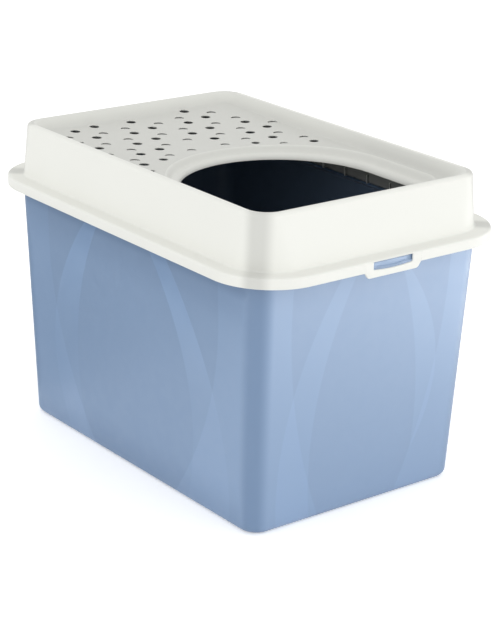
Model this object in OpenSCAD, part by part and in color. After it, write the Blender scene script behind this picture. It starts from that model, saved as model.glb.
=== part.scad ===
// Top entry litter box: a deep tapered bin and a lift-off lid with a D-shaped
// entry opening, a vented dished top and a spring latch tab at each end.
// Millimetres, +Z up. The origin is on the ground under the middle of the box,
// and +X points to the end with the entry opening.

/* [Lid skirt and ledge] */
// Length of the lid over its skirt
lid_len = 572; // [500:1:640]
// Width of the lid over its skirt
lid_w = 400; // [350:1:450]
// Corner radius of the skirt, seen from above
lid_corner_r = 78; // [66:1:95]
// Height of the skirt band
skirt_h = 13; // [11.5:0.5:20]
// Width of the ledge between the skirt and the upright wall
ledge_w = 20.8; // [16:0.2:26]
// Wall thickness of the lid
lid_t = 2.2; // [1.8:0.1:3]

/* [Lid wall and rim] */
// Height from the ledge to the top of the rim
wall_rise = 65.9; // [50:0.1:90]
// How far the wall leans in over its height, at the ends
lean_end = 13.7; // [4:0.1:17]
// How far the wall leans in over its height, at the long sides
lean_side = 8.3; // [2:0.1:11]
// Corner radius of the wall just below the rim
rim_corner_r = 32; // [28:1:44]
// Outer rounding of the rim
rim_round = 4.8; // [3.6:0.1:7]
// Width of the rim's top along the long sides
rim_top_side = 4; // [3:0.5:7]
// Width of the rim's top along the ends
rim_top_end = 1; // [0.5:0.5:4]
// Corner radius of the rim's inner edge
rim_inner_r = 27; // [23:1:30]
// Width of the inner slope along the long sides
slope_side = 12; // [10:1:16]
// Width of the inner slope at the end with the entry opening
slope_front = 31; // [24:1:34]
// Width of the inner slope at the other end
slope_rear = 14; // [10:1:24]
// Depth of the vented panel below the rim
panel_drop = 18.4; // [12:0.1:24]

/* [Entry opening] */
// Radius of the round end of the opening, which is half its width
opening_r = 131; // [100:1:134]
// Distance of the round end's centre from the middle of the box
opening_x = 90; // [70:1:100]
// Distance of the opening's straight edge from the round end's centre
opening_run = 108; // [80:1:112]
// Radius of the two corners of the opening
opening_corner_r = 20; // [12:1:28]
// Width of the rolled lip round the opening
lip_w = 17; // [12:0.5:19]
// Depth of the lip's edge below the panel
lip_drop = 14.5; // [9:0.5:20]

/* [Vents] */
// Diameter of a vent
vent_d = 12.5; // [8:0.5:14]
// Distance between two rows of vents
vent_row = 25.3; // [22:0.1:30]
// Distance between neighbours in a row
vent_step = 38; // [32:0.5:44]
// Sideways shift of every second row
vent_shift = 9.9; // [4:0.1:14]
// How far the vents of a row move together in pairs
vent_pair = 1; // [0:0.1:3]
// Turn of the rows from the box's long axis, in degrees
vent_turn = -30; // [-40:1:-20]
// Width of a crescent vent at its middle
crescent_w = 6.5; // [4:0.5:7.5]
// How far a crescent vent sits ahead of its place in the row
crescent_lead = 5.5; // [0:0.5:7]

/* [Bin] */
// Height of the bin to the top of its rim
bin_h = 329.3; // [260:0.1:380]
// Distance from the lid's edge in to the bin's wall, at the ends
overhang_end = 30.4; // [28:0.2:36]
// Distance from the lid's edge in to the bin's wall, at the long sides
overhang_side = 27.3; // [26:0.2:34]
// How far each end wall leans in from the rim down to the floor
taper_end = 14.8; // [6:0.2:24]
// How far each side wall leans in from the rim down to the floor
taper_side = 12.5; // [6:0.2:24]
// Corner radius of the bin's wall below the rim
bin_corner_r = 27; // [20:1:36]
// Corner radius of the bin's wall at the floor
base_corner_r = 22; // [18:1:30]
// Rounding between the walls and the floor
base_round = 10; // [6:0.5:14]
// Wall thickness of the bin
bin_t = 2.6; // [2:0.1:3.4]
// Width of the ring that the bin stands on
foot_w = 12; // [8:1:20]
// Height of the foot ring
foot_h = 1.5; // [1:0.1:3]
// Height of the turned-down edge of the rim
rim_edge_h = 7.4; // [5:0.2:9]

/* [Latches] */
// Width of a latch tab at the skirt
tab_w = 88; // [70:1:110]
// Width of a latch tab at its lower edge
tab_low_w = 66; // [50:1:68]
// How far a latch tab hangs below the skirt
tab_drop = 9.5; // [6:0.5:16]
// Width of the window in a latch tab
window_w = 59; // [40:1:62]
// Height of the window in a latch tab
window_h = 9; // [6:0.5:9.5]
// Sag of the window's lower edge at its middle
window_sag = 1.7; // [0:0.1:3]

/* [Ribs] */
// Distance between two ribs inside the lid's long walls
rib_pitch = 44; // [30:1:60]
// Height of a rib
rib_h = 15; // [8:1:30]
// Depth of a rib
rib_depth = 4; // [2:0.5:6]
// Thickness of a rib
rib_t = 1.8; // [1.2:0.1:3]
// Distance of the pattern's first rib from the middle of the box
rib_lead = 38; // [20:1:44]
// Height of a rib's foot above the underside of the ledge
rib_lift = 1; // [0.5:0.5:3]

/* [Clearances] */
// Gap between pieces that rest on each other
rest_gap = 0.3; // [0.3:0.1:0.6]
// Gap between the bin's rim and the inside of the lid's skirt
skirt_gap = 1.4; // [0.8:0.1:2.4]
// Gap between a latch tab and the lid round it
tab_gap = 0.4; // [0.3:0.1:0.8]
// Gap between a latch tab and the catch behind it
catch_gap = 0.5; // [0.4:0.1:1.2]

/* [Hidden] */

// Points along one rounded corner, and points along the opening's round end
corner_steps = 8;
arc_steps = 36;

// Heights
ledge_under = bin_h + rest_gap;
ledge_z = ledge_under + lid_t;
skirt_z = ledge_z - skirt_h;
rim_z = ledge_z + wall_rise;
panel_z = rim_z - panel_drop;

// The ledge's outer and inner rounding, and how much smaller the corner radius
// gets down the inner slope
edge_round = lid_t;
foot_round = 3;
slope_sharpens = 10;

// Distances in from the lid's edge to the wall's top and the rim's inner edge
wall_top_end = ledge_w + lean_end;
wall_top_side = ledge_w + lean_side;
inner_end = wall_top_end + rim_round + rim_top_end;
inner_side = wall_top_side + rim_round + rim_top_side;

// The lip starts just below the panel's face, so that the two join inside it.
// It steps down to a narrow seat and rolls over from there to its edge: the
// seat's place as a share of the lip's width, its depth as a share of the drop
lip_bury = 0.2;
lip_seat = 0.48;
lip_step = 0.55;

// A tab's thickness, the depth of its top below the ledge, the distance of the
// window's top from the tab's top, and the rounding of its lower corners
tab_t = lid_t + 0.2;
tab_top_in = 1.6;
window_head = 0.4;
tab_corner = [4.5, 2.2];
knuckle_z = ledge_z - tab_top_in - tab_t / 2;
knuckle_x = lid_len / 2 - tab_t / 2;
window_top = knuckle_z + tab_t / 2 - window_head;
window_low = window_top - window_h;
tab_low = skirt_z - tab_drop;

// A rounded rectangle as a list of points, in from the lid's edge by in_x at
// the ends and in_y at the long sides, at height z. The rear end may have an
// inset of its own
function loop(in_x, in_y, z, r, in_rear) =
    let (front = lid_len / 2 - in_x,
         rear = lid_len / 2 - (is_undef(in_rear) ? in_x : in_rear),
         side = lid_w / 2 - in_y,
         k = corner_steps)
    [for (c = [0:3], i = [0:k])
        let (a = 90 * c + 90 * i / k,
             x = (c == 0 || c == 3) ? front - r : r - rear,
             y = (c < 2) ? side - r : r - side)
        [x + r * cos(a), y + r * sin(a), z]];

// The opening's outline grown by d, as a list of points at height z
function opening_loop(d, z) =
    let (r = opening_r + d, rc = opening_corner_r + d, x1 = opening_x + opening_run + d, k = corner_steps)
    concat(
        [for (i = [0:k]) let (a = 90 * i / k) [x1 - rc + rc * cos(a), r - rc + rc * sin(a), z]],
        [for (i = [0:arc_steps]) let (a = 90 + 180 * i / arc_steps) [opening_x + r * cos(a), r * sin(a), z]],
        [for (i = [0:k]) let (a = 270 + 90 * i / k) [x1 - rc + rc * cos(a), -r + rc + rc * sin(a), z]]);

function flat(lists) = [for (l = lists, p = l) p];

// The walls of a skin through loops of n points: closed joins the last loop
// to the first, as on a ring
function skin_faces(m, n, closed) =
    [for (j = [0:(closed ? m - 1 : m - 2)], i = [0:n - 1], t = [0, 1])
        let (a = j * n + i, b = j * n + (i + 1) % n,
             c = ((j + 1) % m) * n + (i + 1) % n, d = ((j + 1) % m) * n + i)
        t == 0 ? [a, c, b] : [a, d, c]];

// A closed solid through loops, with a flat cap at each end
module skin(loops) {
    m = len(loops);
    n = len(loops[0]);
    bottom = [[for (i = [0:n - 1]) i]];
    top = [[for (i = [0:n - 1]) m * n - 1 - i]];
    polyhedron(points = flat(loops), faces = concat(bottom, skin_faces(m, n, false), top), convexity = 12);
}

// A ring whose cross-section runs through the loops
module ring_skin(loops) {
    m = len(loops);
    n = len(loops[0]);
    polyhedron(points = flat(loops), faces = skin_faces(m, n, true), convexity = 12);
}

function smooth(t) = t * t * (3 - 2 * t);

// Outer face of the lid from the skirt's edge to the panel:
// [in from the front, in from the side, height, corner radius, in from the rear]
lid_profile = concat(
    [[0, 0, skirt_z, lid_corner_r, 0]],
    [for (a = [0:30:90])
        let (d = edge_round * (1 - cos(a)))
        [d, d, ledge_z - edge_round + edge_round * sin(a), lid_corner_r - d, d]],
    [for (a = [0:30:90])
        let (d = ledge_w - foot_round + foot_round * sin(a))
        [d, d, ledge_z + foot_round * (1 - cos(a)), lid_corner_r - d, d]],
    [for (a = [0:18:90])
        let (d = rim_round * (1 - cos(a)))
        [wall_top_end + d, wall_top_side + d, rim_z - rim_round + rim_round * sin(a),
         rim_corner_r - d, wall_top_end + d]],
    [for (t = [0:0.125:1])
        [inner_end + slope_front * t, inner_side + slope_side * t, rim_z - panel_drop * smooth(t),
         rim_inner_r - slope_sharpens * t, inner_end + slope_rear * t]]);

// Direction across the profile at point i, pointing into the wall
function across(p, i) =
    let (a = p[max(i - 1, 0)], b = p[min(i + 1, len(p) - 1)],
         du = (b[0] + b[1] - a[0] - a[1]) / 2, dz = b[2] - a[2], l = sqrt(du * du + dz * dz))
    [dz / l, -du / l];

function inset_point(p, i, t) =
    let (n = across(p, i))
    [p[i][0] + t * n[0], p[i][1] + t * n[0], p[i][2] + t * n[1], p[i][3] - t * n[0], p[i][4] + t * n[0]];

lid_inside = concat(
    [[lid_t, lid_t, skirt_z, lid_corner_r - lid_t, lid_t]],
    [[lid_t, lid_t, ledge_under, lid_corner_r - lid_t, lid_t]],
    [let (d = ledge_w - foot_round) [d, d, ledge_under, lid_corner_r - d, d]],
    [for (i = [8:len(lid_profile) - 2]) inset_point(lid_profile, i, lid_t)],
    [let (e = lid_profile[len(lid_profile) - 1]) [e[0], e[1], panel_z - lid_t, e[3], e[4]]]);

// The lid's dished shell, before its opening and vents
module lid_shell() {
    outer = [for (p = lid_profile) loop(p[0], p[1], p[2], p[3], p[4])];
    inner = [for (i = [len(lid_inside) - 1:-1:0])
        let (p = lid_inside[i]) loop(p[0], p[1], p[2], p[3], p[4])];
    m = len(outer) + len(inner);
    n = len(outer[0]);
    k = len(outer);
    top = [[for (i = [0:n - 1]) k * n - 1 - i]];
    under = [[for (i = [0:n - 1]) k * n + i]];
    walls = [for (j = [0:m - 1], i = [0:n - 1], t = [0, 1])
        if (j != k - 1)
        let (a = j * n + i, b = j * n + (i + 1) % n,
             c = ((j + 1) % m) * n + (i + 1) % n, d = ((j + 1) % m) * n + i)
        t == 0 ? [a, c, b] : [a, d, c]];
    polyhedron(points = flat(concat(outer, inner)), faces = concat(walls, top, under), convexity = 16);
}

// Upper face of the rolled lip: [out from the opening, height]
lip_top_z = panel_z - lip_bury;
lip_profile = concat(
    [[lip_w + 2, lip_top_z], [lip_w, lip_top_z]],
    [for (t = [0.25:0.25:1])
        [lip_w * (1 - (1 - lip_seat) * t), lip_top_z - lip_step * lip_drop * smooth(t)]],
    [for (a = [22.5:22.5:90])
        [lip_seat * lip_w * (1 - sin(a)), lip_top_z - lip_drop * (1 - (1 - lip_step) * cos(a))]]);

// The point under point i of the lip, through its wall. The flat start is
// thinner, so that it stays inside the panel
function lip_under(i) =
    let (p = lip_profile, a = p[max(i - 1, 0)], b = p[min(i + 1, len(p) - 1)], l = norm(b - a),
         t = (i < 2) ? lid_t - 2 * lip_bury : lid_t)
    (i < 2) ? [p[i][0], p[i][1] - t] : [p[i][0] + t * (a[1] - b[1]) / l, p[i][1] + t * (b[0] - a[0]) / l];

module lip() {
    upper = [for (p = lip_profile) opening_loop(p[0], p[1])];
    lower = [for (i = [len(lip_profile) - 1:-1:0]) let (p = lip_under(i)) opening_loop(p[0], p[1])];
    ring_skin(concat(upper, lower));
}

// One place in the vent pattern, counted in rows and in steps along a row
function vent_at(row, step) =
    let (u = row * vent_row,
         v = step * vent_step - ((row % 2 != 0) ? vent_shift : 0) + ((step % 2 == 0) ? vent_pair : -vent_pair))
    [vent_x0 + u * cos(vent_turn) - v * sin(vent_turn), vent_y0 + u * sin(vent_turn) + v * cos(vent_turn)];

// Where the pattern is counted from, and the field that it fills
vent_x0 = -221.6;
vent_y0 = -16.5;
field_end = lid_len / 2 - inner_end - slope_rear;
field_side = lid_w / 2 - inner_side - slope_side - 2;
field_gap = opening_r + lip_w + vent_d / 2 - 2;
// Places inside the field that have no vent: [row, step]
bare_places = [[-3, 4], [-2, 4], [-1, 1], [4, -2], [4, 2], [5, 7], [7, -1]];
// Small vents beside the pattern, as shares of the lid's length and width
small_places = [[-0.028, -0.315], [-0.294, -0.322]];
small_vent_d = 0.6 * vent_d;
// Radius of the crescents' hollow side
hollow_r = 0.9 * vent_d;

function in_field(p) =
    abs(p[0]) < field_end && abs(p[1]) < field_side && p[0] < opening_x
    && norm([p[0] - opening_x, p[1]]) > field_gap;

function is_bare(row, step) = len([for (b = bare_places) if (b == [row, step]) 1]) > 0;

module round_vent() {
    cylinder(d = vent_d, h = 40, $fn = 32);
}

// A vent shaped like a half-moon, its hollow side towards the entry opening
module crescent_vent() {
    difference() {
        cylinder(d = vent_d, h = 40, $fn = 32);
        translate([crescent_w - vent_d / 2 + hollow_r, 0, -1]) cylinder(r = hollow_r, h = 42, $fn = 48);
    }
}

module vents() {
    for (row = [-6:16], step = [-6:8]) {
        p = vent_at(row, step);
        if (in_field(p) && !is_bare(row, step))
            translate([p[0], p[1], panel_z - 20]) {
                if ((row + step) % 2 == 0) round_vent();
                else rotate(vent_turn) translate([crescent_lead, 0, 0]) crescent_vent();
            }
    }
    for (p = small_places)
        translate([p[0] * lid_len, p[1] * lid_w, panel_z - 20]) cylinder(d = small_vent_d, h = 40, $fn = 24);
}

// Outline of a rib, seen along a wall that leans in by lean. It reaches
// half-way into the wall
module rib_outline(lean) {
    foot = lid_t + foot_round - rib_lift;
    slant = lean * (rib_h - foot) / (wall_rise - foot_round - rim_round);
    back = -lid_t / 2;
    polygon([[back, 0], [rib_depth, 0], [rib_depth + slant, rib_h], [back + slant, rib_h], [back, foot]]);
}

// Upright ribs inside the lid's walls, standing just above the bin's rim
module lid_ribs() {
    low = ledge_under + rib_lift;
    wall_x = lid_len / 2 - ledge_w - lid_t;
    wall_y = lid_w / 2 - ledge_w - lid_t;
    for (k = [-3:2], s = [-1, 1])
        translate([rib_lead + k * rib_pitch, s * wall_y, low]) rotate([90, 0, -90 * s])
            linear_extrude(rib_t, center = true) rib_outline(lean_side);
    for (k = [-1, 1], s = [-1, 1])
        translate([s * wall_x, k * rib_pitch, low]) rotate([90, 0, 90 + 90 * s])
            linear_extrude(rib_t, center = true) rib_outline(lean_end);
}

// The part of the skirt that a latch tab fills
module tab_space() {
    h = knuckle_z + tab_t / 2 + rest_gap - skirt_z + 1;
    translate([lid_len / 2 - tab_t / 2, 0, skirt_z - 1 + h / 2])
        cube([tab_t + 2 * tab_gap, tab_w + 2 * tab_gap, h], center = true);
}

module lid() color([0.93, 0.93, 0.90]) {
    difference() {
        lid_shell();
        translate([0, 0, panel_z - 30]) linear_extrude(60)
            polygon([for (p = opening_loop(lip_w - 0.5, 0)) [p[0], p[1]]]);
        vents();
        tab_space();
        mirror([1, 0, 0]) tab_space();
    }
    difference() {
        lip();
        vents();
    }
    lid_ribs();
}

// Outline of a latch tab in its own plane, from its lower edge to the knuckle
module tab_outline() {
    hw = tab_w / 2;
    lw = tab_low_w / 2;
    side = lw + tab_corner[0];
    foot = tab_low + tab_corner[1];
    polygon([[-hw, knuckle_z], [-hw, skirt_z], [-side, foot], [-lw, tab_low],
             [lw, tab_low], [side, foot], [hw, skirt_z], [hw, knuckle_z]]);
}

// The window: straight on top, with a lower edge that sags in the middle
module window_outline() {
    hw = window_w / 2;
    polygon(concat([[-hw, window_top + 5], [-hw, window_low]],
        [for (i = [1:7]) let (s = i / 8) [-hw + window_w * s, window_low - window_sag * sin(180 * s)]],
        [[hw, window_low], [hw, window_top + 5]]));
}

module latch_tab() {
    post = (tab_w - window_w) / 2;
    translate([lid_len / 2 - tab_t, 0, 0]) rotate([90, 0, 90]) linear_extrude(tab_t)
        difference() {
            tab_outline();
            window_outline();
        }
    for (s = [-1, 1])
        translate([knuckle_x, s * (tab_w - post) / 2, knuckle_z]) rotate([90, 0, 0])
            cylinder(d = tab_t, h = post, center = true, $fn = 32);
}

module front_latch() color([0.95, 0.95, 0.93]) latch_tab();

module rear_latch() color([0.95, 0.95, 0.93]) mirror([1, 0, 0]) latch_tab();

// Outer and inner face of the bin, from the foot ring up, over the rim and
// down to the floor: [in from the end, in from the side, height, corner radius]
rim_edge_in = lid_t + skirt_gap;
wall_top_z = bin_h - bin_t;
floor_z = foot_h + bin_t;
base_in_end = overhang_end + taper_end;
base_in_side = overhang_side + taper_side;
edge_low_z = bin_h - rim_edge_h;
rim_r = lid_corner_r - rim_edge_in;

bin_profile = concat(
    [[base_in_end + base_round + foot_w + 2, base_in_side + base_round + foot_w + 2, foot_h, base_corner_r - 6]],
    [[base_in_end + base_round + foot_w, base_in_side + base_round + foot_w, 0, base_corner_r - 5]],
    [for (a = [0:22.5:90])
        [base_in_end + base_round * (1 - sin(a)), base_in_side + base_round * (1 - sin(a)),
         base_round * (1 - cos(a)), base_corner_r - (base_round - 6) * (1 - sin(a))]],
    [[overhang_end, overhang_side, wall_top_z - 3, bin_corner_r]],
    [[overhang_end - 2, overhang_side - 2, wall_top_z, bin_corner_r + 2]],
    [[rim_edge_in + bin_t, rim_edge_in + bin_t, wall_top_z, rim_r - bin_t]],
    [[rim_edge_in + bin_t, rim_edge_in + bin_t, edge_low_z, rim_r - bin_t]],
    [[rim_edge_in, rim_edge_in, edge_low_z, rim_r]],
    [for (a = [0:30:90])
        let (d = rim_edge_in + 2 * (1 - cos(a))) [d, d, bin_h - 2 + 2 * sin(a), rim_r - 2 * (1 - cos(a))]],
    [for (a = [0:30:90])
        [overhang_end + bin_t - 2 + 2 * sin(a), overhang_side + bin_t - 2 + 2 * sin(a),
         bin_h - 2 * (1 - cos(a)), bin_corner_r - bin_t + 2 * (1 - sin(a))]],
    [for (a = [90:-22.5:0])
        [base_in_end + bin_t + (base_round - bin_t) * (1 - sin(a)),
         base_in_side + bin_t + (base_round - bin_t) * (1 - sin(a)),
         floor_z + (base_round - bin_t) * (1 - cos(a)), base_corner_r - bin_t - (base_round - bin_t - 3) * (1 - sin(a))]]);

// The catch that shows in a latch tab's window: a plate on the rim's edge
module catch() {
    face = lid_len / 2 - tab_t - catch_gap;
    back = lid_len / 2 - rim_edge_in - bin_t;
    hw = window_w / 2 - 2;
    low = edge_low_z + 0.6;
    translate([back, 0, 0]) rotate([90, 0, 90]) linear_extrude(face - back)
        polygon(concat([[-hw, bin_h - 1]],
            [for (i = [0:8]) let (s = i / 8) [-hw + 2 * hw * s, low - 1.4 * sin(180 * s)]],
            [[hw, bin_h - 1]]));
}

module bin() color([0.50, 0.65, 0.85]) {
    skin([for (p = bin_profile) loop(p[0], p[1], p[2], p[3])]);
    catch();
    mirror([1, 0, 0]) catch();
}

bin();
lid();
front_latch();
rear_latch();
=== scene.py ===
"""The looks of a top entry litter box: a light blue bin, a white lid and two latch tabs."""

import math

import bmesh
import bpy
import numpy as np
from bpy.props import FloatProperty, FloatVectorProperty, PointerProperty
from bpy.types import Operator, Panel, PropertyGroup
from mathutils import Matrix, Vector
from mathutils.geometry import delaunay_2d_cdt


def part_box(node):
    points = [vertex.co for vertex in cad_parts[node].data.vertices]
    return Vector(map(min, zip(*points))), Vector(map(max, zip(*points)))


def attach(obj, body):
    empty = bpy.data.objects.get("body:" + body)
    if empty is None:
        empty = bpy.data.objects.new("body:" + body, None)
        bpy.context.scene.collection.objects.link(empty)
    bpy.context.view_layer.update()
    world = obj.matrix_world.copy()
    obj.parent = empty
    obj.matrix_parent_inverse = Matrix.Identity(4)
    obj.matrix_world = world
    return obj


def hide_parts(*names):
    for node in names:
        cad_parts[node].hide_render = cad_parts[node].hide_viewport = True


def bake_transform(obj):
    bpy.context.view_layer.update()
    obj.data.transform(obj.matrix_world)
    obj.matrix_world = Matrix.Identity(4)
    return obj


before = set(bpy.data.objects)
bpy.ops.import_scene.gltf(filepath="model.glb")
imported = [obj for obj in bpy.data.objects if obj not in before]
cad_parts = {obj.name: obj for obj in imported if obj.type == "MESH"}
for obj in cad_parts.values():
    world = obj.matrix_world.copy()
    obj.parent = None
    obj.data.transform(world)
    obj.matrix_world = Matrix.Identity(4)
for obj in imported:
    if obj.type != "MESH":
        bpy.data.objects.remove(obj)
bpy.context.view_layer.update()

bl_info = {
    "name": "Top entry litter box",
    "version": (1, 0, 0),
    "blender": (4, 5, 0),
    "location": "3D View > Sidebar > Litter box",
    "description": "Builds a lidded litter bin with a vented top and latch tabs",
    "category": "Object",
}

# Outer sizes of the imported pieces, in metres
LID_LOW, LID_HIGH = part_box("lid")
_, BIN_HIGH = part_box("bin")
HALF_LENGTH = LID_HIGH.x
HALF_WIDTH = LID_HIGH.y
RIM_Z = LID_HIGH.z
SKIRT_Z = LID_LOW.z
BIN_Z = BIN_HIGH.z


def length(name, default, description):
    """A size in metres that a user can change."""
    return FloatProperty(
        name=name, default=default, description=description, min=0.0, unit="LENGTH", precision=4
    )


def angle(name, default, description):
    """An angle that a user can change, given in degrees."""
    return FloatProperty(name=name, default=math.radians(default), description=description, subtype="ANGLE")


def colour(name, default, description):
    """A colour that a user can change, in linear values."""
    return FloatVectorProperty(
        name=name, default=default, description=description, subtype="COLOR", size=3, min=0.0, max=1.0
    )


def share(name, default, description):
    """A plain number from 0 to 1."""
    return FloatProperty(name=name, default=default, description=description, min=0.0, max=1.0)


def strength(name, default, description):
    """A strength that can pass 1 or fall below 0."""
    return FloatProperty(name=name, default=default, description=description, min=-8.0, max=8.0)


class BinSettings(PropertyGroup):
    """Sizes and finish of the bin."""

    wall: length("Wall", 0.0026, "Thickness of the bin's wall")
    overhang_end: length("End overhang", 0.0304, "From the lid's edge in to the bin's end wall")
    overhang_side: length("Side overhang", 0.0273, "From the lid's edge in to the bin's side wall")
    taper_end: length("End taper", 0.0148, "How far an end wall leans in down to the floor")
    taper_side: length("Side taper", 0.0125, "How far a side wall leans in down to the floor")
    corner: length("Corner", 0.027, "Corner radius below the rim")
    base_corner: length("Base corner", 0.022, "Corner radius at the floor")
    base_round: length("Base rounding", 0.010, "Rounding between walls and floor")
    foot_width: length("Foot ring", 0.012, "Width of the ring that the bin stands on")
    foot_height: length("Foot height", 0.0015, "Height of the foot ring")
    rim_gap: length("Rim gap", 0.0014, "Gap between the rim and the inside of the lid's skirt")
    rim_edge: length("Rim edge", 0.0074, "Height of the rim's turned-down edge")
    plastic: colour("Plastic", (0.211, 0.311, 0.473), "Colour of the bin's plastic")
    # Painted shade: the bin's inner walls and floor are painted darker than its outer faces, standing in for
    # the shade inside it.
    inside: share("Inside", 0.34, "Brightness of the bin's inner faces as a share of its outer ones")
    roughness: share("Roughness", 0.50, "Roughness of the bin's plastic")
    band_shine: share("Band shine", 0.05, "How much smoother the curved bands are")
    # The bands are a pattern of the plastic; their lighter tint, stronger high up on the side walls, is
    # partly painted sheen.
    band_tint: share("Band tint", 0.07, "How much lighter the curved bands are")
    band_low: strength("Low bands", 0.5, "Strength of the side walls' bands low down")
    band_high: strength("High bands", 2.9, "Strength of the side walls' bands high up")
    shaded: colour("Shaded plastic", (0.104, 0.179, 0.306), "Colour of the plastic where it lies in shade")
    corner_shade: share("Corner shade", 0.60, "How much of that colour the corners have")
    top_shade: share("Top shade", 0.20, "How much of it the side walls have near the lid")
    ledge_shade: share("Ledge shade", 0.35, "How much more of it they have right below the lid's edge")
    low_shade: share("Low shade", 0.38, "How much of it they have at the floor")


class LidSettings(PropertyGroup):
    """Sizes and finish of the lid."""

    wall: length("Wall", 0.0022, "Thickness of the lid's wall")
    corner: length("Corner", 0.078, "Corner radius of the skirt")
    skirt: length("Skirt", 0.013, "Height of the skirt band")
    edge_round: length("Edge rounding", 0.0024, "Rounding between the skirt and the ledge")
    ledge: length("Ledge", 0.0208, "Width of the ledge")
    foot_round: length("Foot rounding", 0.003, "Fillet between the ledge and the wall")
    lean_end: length("End lean", 0.0137, "How far an end wall leans in up to the rim")
    lean_side: length("Side lean", 0.0083, "How far a side wall leans in up to the rim")
    rim_round: length("Rim rounding", 0.0048, "Outer rounding of the rim")
    rim_corner: length("Rim corner", 0.032, "Corner radius of the wall below the rim's rounding")
    rim_side: length("Rim side", 0.0040, "Width of the rim's top along the sides")
    rim_end: length("Rim end", 0.0010, "Width of the rim's top along the ends")
    rim_inner: length("Rim inner corner", 0.027, "Corner radius of the rim's inner edge")
    slope_side: length("Side slope", 0.012, "Width of the inner slope along the sides")
    slope_front: length("Front slope", 0.031, "Width of the inner slope at the entry end")
    slope_rear: length("Rear slope", 0.014, "Width of the inner slope at the other end")
    slope_corner: length("Slope corner", 0.017, "Corner radius at the foot of the inner slope")
    drop: length("Panel drop", 0.0192, "Depth of the panel's middle below the rim")
    dish_rear: length("Rear dish", 0.0036, "How far the panel rises from its middle to its rear end")
    dish_side: length("Side dish", 0.0029, "How far the panel rises from its middle to its sides")
    dish_from: length("Dish start", 0.0905, "Where the panel starts to rise, rearward from the lid's middle")
    opening: length("Opening radius", 0.131, "Radius of the opening's round end")
    opening_x: length("Opening place", 0.090, "Place of the round end's centre along the lid")
    opening_run: length("Opening run", 0.108, "From that centre to the opening's straight edge")
    opening_corner: length("Opening corner", 0.020, "Radius of the opening's two corners")
    lip: length("Lip", 0.017, "Width of the rolled lip")
    lip_drop: length("Lip drop", 0.0142, "Depth of the lip's edge below the panel's middle")
    lip_seat: share("Lip seat", 0.48, "Place of the lip's narrow seat as a share of its width")
    lip_step: share("Lip step", 0.55, "Depth of that seat as a share of the lip's drop")
    vent: length("Vent", 0.0125, "Diameter of a vent")
    vent_row: length("Vent row", 0.0253, "Distance between two rows of vents")
    vent_step: length("Vent step", 0.038, "Distance between neighbours in a row")
    vent_shift: length("Vent shift", 0.0099, "Sideways shift of every second row")
    vent_pair: length("Vent pair", 0.00105, "Sideways shift that brings the vents of a row together in pairs")
    vent_turn: angle("Vent turn", -30, "Turn of the rows from the lid's long axis")
    crescent: length("Crescent", 0.0065, "Width of a crescent vent at its middle")
    crescent_size: share("Crescent size", 0.98, "Size of a crescent's round back as a share of a round vent")
    hollow: length("Hollow", 0.011, "Radius of a crescent's hollow side")
    crescent_lead: length("Crescent lead", 0.0055, "How far a crescent sits ahead of its place")
    vent_fade: length("Vent fade", 0.025, "Distance from the lip within which the vents get smaller")
    vent_least: share("Least vent", 0.80, "Size of a vent beside the lip as a share of a full one")
    vent_edge: length("Vent edge", 0.0006, "Chamfer round a vent")
    rib_pitch: length("Rib pitch", 0.044, "Distance between two ribs")
    rib_lead: length("Rib lead", 0.038, "Distance of the first rib from the middle")
    rib_height: length("Rib height", 0.012, "Height of a rib")
    rib_depth: length("Rib depth", 0.003, "Depth of a rib")
    rib_thickness: length("Rib thickness", 0.0012, "Thickness of a rib")
    plastic: colour("Plastic", (0.830, 0.835, 0.789), "Colour of the lid's plastic")
    roughness: share("Roughness", 0.40, "Roughness of the lid's plastic")
    # Painted shade: the lid's inner faces and ribs are painted darker than its outer faces.
    inside: share("Inside", 0.35, "Brightness of the lid's inner faces as a share of the outer ones'")
    # Painted shade: the dished top is painted darker than the outer faces, most on the panel and less up the
    # slope to the rim; its roughness is that of the rest of the lid.
    vented: share("Vented part", 0.77, "Brightness of the matt panel as a share of the outer faces'")
    vented_edge: share("Vented edge", 0.87, "The same near the rim")
    # Painted shade: the lip is painted darker than the outer faces, though less than the panel; its roughness
    # is that of the rest of the lid.
    lip_share: share("Lip", 0.87, "Brightness of the smooth lip as a share of the outer faces'")
    corner_shade: share("Corner shade", 0.54, "How strongly the wall's and the skirt's corners are darkened")
    # Painted shade: the vents' walls are painted nearly black, standing in for the shade inside the holes.
    vent_wall: share("Vent walls", 0.05, "Brightness of the vents' walls as a share of the outer faces'")


class LatchSettings(PropertyGroup):
    """Sizes of the latch tabs and of the catches behind them."""

    width: length("Width", 0.0865, "Width of a tab at the skirt")
    low_width: length("Lower width", 0.0755, "Width of a tab at its lower corners")
    corner: length("Corner", 0.006, "Rounding of a tab's lower corners")
    thickness: length("Thickness", 0.0024, "Thickness of a tab")
    drop: length("Drop", 0.0075, "How far a tab hangs below the skirt")
    window: length("Window", 0.060, "Width of a tab's window")
    window_low: length("Sill", 0.0094, "Height of the window's lower corners above the tab's lower edge")
    window_sag: length("Sag", 0.0017, "Sag of the window's lower edge")
    side_gap: length("Side gap", 0.0001, "Gap between a tab and the skirt beside it")
    edge: length("Edge", 0.0007, "Rounding of a tab's edges")
    catch_gap: length("Catch gap", 0.0005, "Gap between a tab and the catch behind it")
    catch_side: length("Catch side", 0.002, "From a catch's end to the window's end")


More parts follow.
